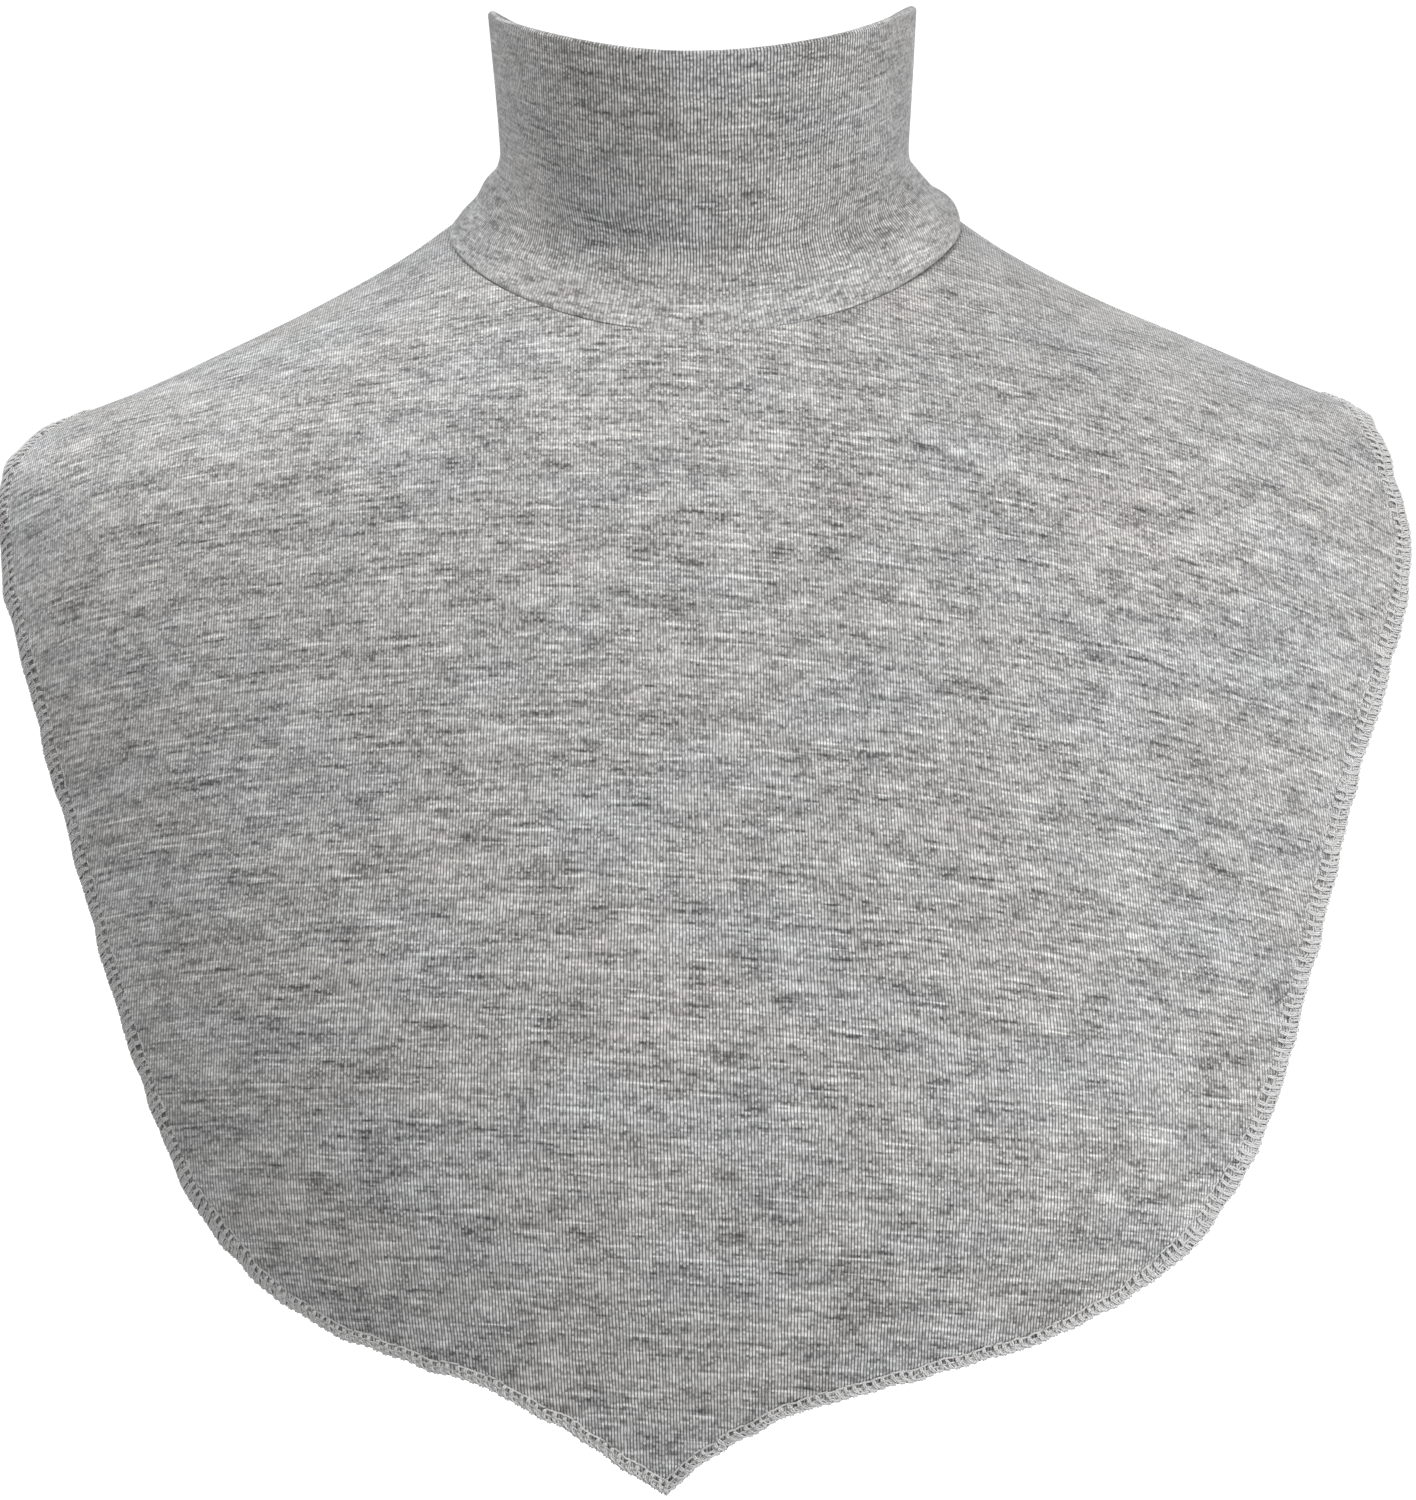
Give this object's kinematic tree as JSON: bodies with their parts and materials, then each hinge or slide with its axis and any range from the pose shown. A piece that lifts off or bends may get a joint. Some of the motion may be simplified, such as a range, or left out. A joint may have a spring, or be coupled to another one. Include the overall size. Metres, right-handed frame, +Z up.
{
  "type": "turtleneck dickey",
  "caption": "Grey jersey turtleneck collar on a short shaped bib, worn at the neck under a sweater to keep neck, chest and upper back warm.",
  "frame": {"origin": "centre of the neckline seam, where the collar meets the bib, on the axis of the wearer's neck", "axes": "+Z up, -Y towards the front of the chest, +X to the right seen from the front"},
  "size_m": [0.3711, 0.2258, 0.3854],
  "materials": {
    "jersey": "heather grey single jersey knit",
    "overlock": "overlocked cut edges, grey thread"
  },
  "bodies": {
    "root": {"collar": "jersey", "front_panel": "jersey", "back_panel": "jersey", "neck_seam": "overlock", "shoulder_seam_left": "overlock", "shoulder_seam_right": "overlock"}
  },
  "joints": []
}
